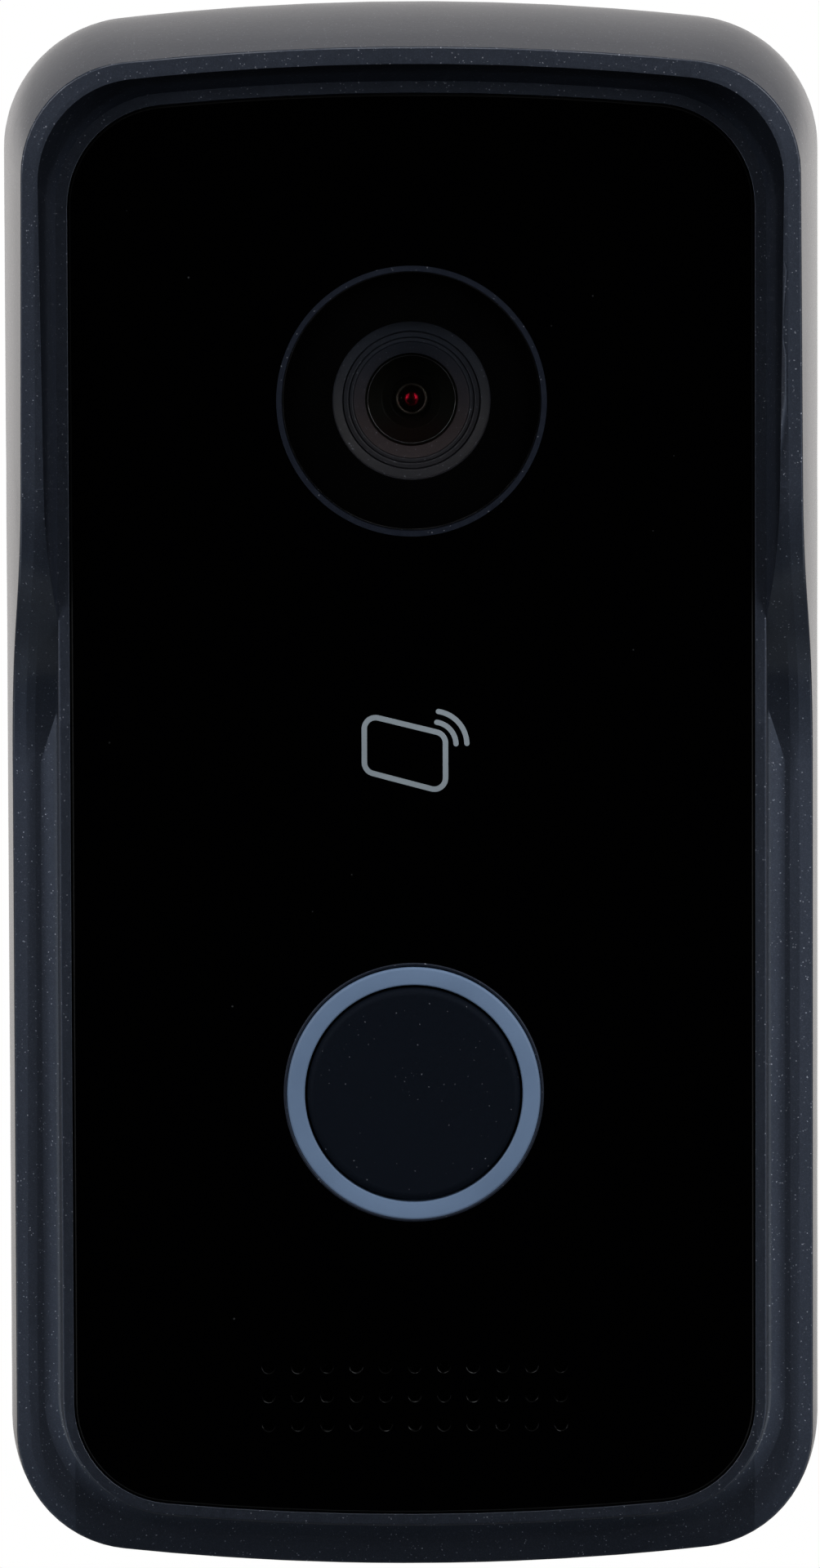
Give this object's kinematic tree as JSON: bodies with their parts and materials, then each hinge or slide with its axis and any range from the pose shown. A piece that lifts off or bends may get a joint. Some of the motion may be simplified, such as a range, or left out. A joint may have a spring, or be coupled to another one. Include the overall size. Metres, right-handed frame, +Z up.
{
  "type": "video doorbell",
  "caption": "Upright wall-mounted video door station: painted housing with a rain hood, gloss panel, camera window, round call button, sound holes, inner works and wall bracket.",
  "frame": {"origin": "middle of the wall face, at the centre of the housing's outline", "axes": "+X right, +Z up, +Y into the wall; the front looks along -Y"},
  "size_m": [0.07, 0.0277, 0.134],
  "materials": {
    "housing_paint": "dark metallic paint, satin",
    "ring_paint": "dark satin paint",
    "panel_black": "high gloss black",
    "window_glass": "clear, polished, with a dark printed border",
    "lens_glass": "coated optical glass",
    "filter_glass": "flat optical filter",
    "baffle_black": "fine matte black",
    "barrel_black": "black anodised",
    "ring_frosted": "frosted blue-grey light guide",
    "button_cap": "dark satin gloss",
    "silicone_grey": "soft silicone",
    "gasket_black": "soft foam and rubber seals",
    "adhesive_grey": "double-sided foam sheet",
    "board_green": "glass-epoxy board with solder mask",
    "chip_black": "moulded epoxy",
    "lamp_clear": "tinted epoxy",
    "lamp_white": "white lamp package",
    "switch_black": "moulded nylon",
    "plunger_white": "moulded acetal",
    "steel": "zinc-plated steel",
    "bracket_steel": "galvanised sheet steel",
    "brass": "plain brass",
    "copper": "enamelled copper wire",
    "mesh_black": "woven acoustic mesh",
    "basket_black": "moulded basket",
    "cone_grey": "pressed film cone",
    "cover_black": "textured moulded plastic",
    "terminal_green": "moulded terminal body",
    "lead_red": "insulated wire"
  },
  "bodies": {
    "housing": {"front_housing": "housing_paint", "front_panel": "panel_black", "panel_adhesive": "adhesive_grey", "camera_ring": "ring_paint", "camera_window": "window_glass", "window_gasket": "gasket_black", "lens_baffle": "baffle_black", "lens_barrel": "barrel_black", "front_lens": "lens_glass", "inner_lens": "lens_glass", "lens_holder": "switch_black", "lens_holder_screws": "steel", "filter_coil": "copper", "image_sensor": "chip_black", "infrared_lamps": "lamp_clear", "card_antenna": "board_green", "antenna_pins": "brass", "button_light_ring": "ring_frosted", "switch_body": "switch_black", "ring_lamps": "lamp_white", "speaker_mesh": "mesh_black", "speaker_gasket": "gasket_black", "speaker_frame": "basket_black", "speaker_magnet": "steel", "speaker_contacts": "brass", "microphone_boot": "gasket_black", "microphone": "steel", "microphone_leads": "lead_red", "main_board": "board_green", "board_chips": "chip_black", "board_screws": "steel", "rear_cover": "cover_black", "rear_gasket": "gasket_black", "rear_cover_screws": "steel", "terminal_seal": "gasket_black", "terminal_block": "terminal_green", "terminal_screws": "steel", "tamper_switch": "switch_black", "wall_bracket": "bracket_steel", "lock_screw": "steel"},
    "call_button": {"call_button": "button_cap", "button_pad": "silicone_grey"},
    "switch_plunger": {"switch_plunger": "plunger_white"},
    "filter_slide": {"filter_carriage": "switch_black", "infrared_filter": "filter_glass", "clear_filter": "filter_glass"},
    "speaker_cone": {"speaker_cone": "cone_grey", "voice_coil": "copper"},
    "tamper_plunger": {"tamper_plunger": "plunger_white"}
  },
  "joints": [
    {"name": "button_press", "type": "slide", "parent": "housing", "child": "call_button", "axis": [0, 1, 0], "range_m": [0, 0.0005], "stiffness_N_per_m": 2000},
    {"name": "switch_press", "type": "slide", "parent": "housing", "child": "switch_plunger", "axis": [0, 1, 0], "range_m": [0, 0.0005]},
    {"name": "filter_shift", "type": "slide", "parent": "housing", "child": "filter_slide", "axis": [-1, 0, 0], "range_m": [0, 0.0062]},
    {"name": "cone_stroke", "type": "slide", "parent": "housing", "child": "speaker_cone", "axis": [0, -1, 0], "range_m": [-0.0003, 0.0003], "stiffness_N_per_m": 1200},
    {"name": "tamper_press", "type": "slide", "parent": "housing", "child": "tamper_plunger", "axis": [0, -1, 0], "range_m": [0, 0.0008], "stiffness_N_per_m": 800}
  ],
  "couplings": [
    {"joint": "switch_press", "follows": "button_press", "ratio": 1}
  ]
}
